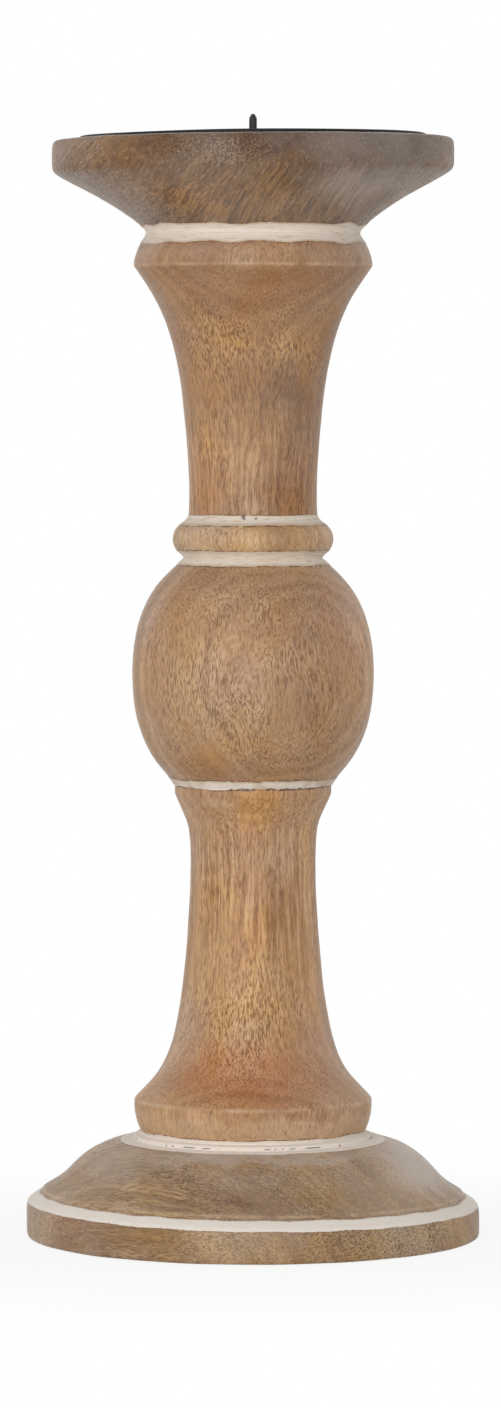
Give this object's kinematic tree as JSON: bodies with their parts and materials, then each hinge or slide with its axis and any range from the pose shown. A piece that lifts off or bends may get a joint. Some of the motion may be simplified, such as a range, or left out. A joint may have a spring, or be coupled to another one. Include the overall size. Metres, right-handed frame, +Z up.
{
  "type": "pricket candle stand",
  "caption": "Turned wooden pillar candle stand with a round base, ball and dished cap; a loose steel drip pan lies in the cap round a short spike that holds the candle.",
  "frame": {"origin": "centre of the felt's underside, on the table", "axes": "+Z up along the turning axis, from the base to the spike; the stand looks alike from every side"},
  "size_m": [0.1214, 0.1214, 0.3],
  "materials": {
    "limewashed_wood": "matt limewashed hardwood with pale paste in the grooves",
    "dowel_wood": "plain beech",
    "blackened_pan": "satin black painted sheet steel",
    "blackened_steel": "satin black steel",
    "zinc_steel": "zinc plated",
    "felt": "dark brown wool felt"
  },
  "bodies": {
    "stand": {"felt_disc": "felt", "base": "limewashed_wood", "base_screw": "zinc_steel", "base_washer": "zinc_steel", "lower_column": "limewashed_wood", "ball_dowel": "dowel_wood", "ball": "limewashed_wood", "bead_ring": "limewashed_wood", "upper_column": "limewashed_wood", "candle_cap": "limewashed_wood", "pricket": "blackened_steel"},
    "pan": {"drip_pan": "blackened_pan"}
  },
  "joints": [
    {"name": "pan_lift", "type": "slide", "parent": "stand", "child": "pan", "axis": [0, 0, 1], "range_m": [0, 0.03]}
  ]
}
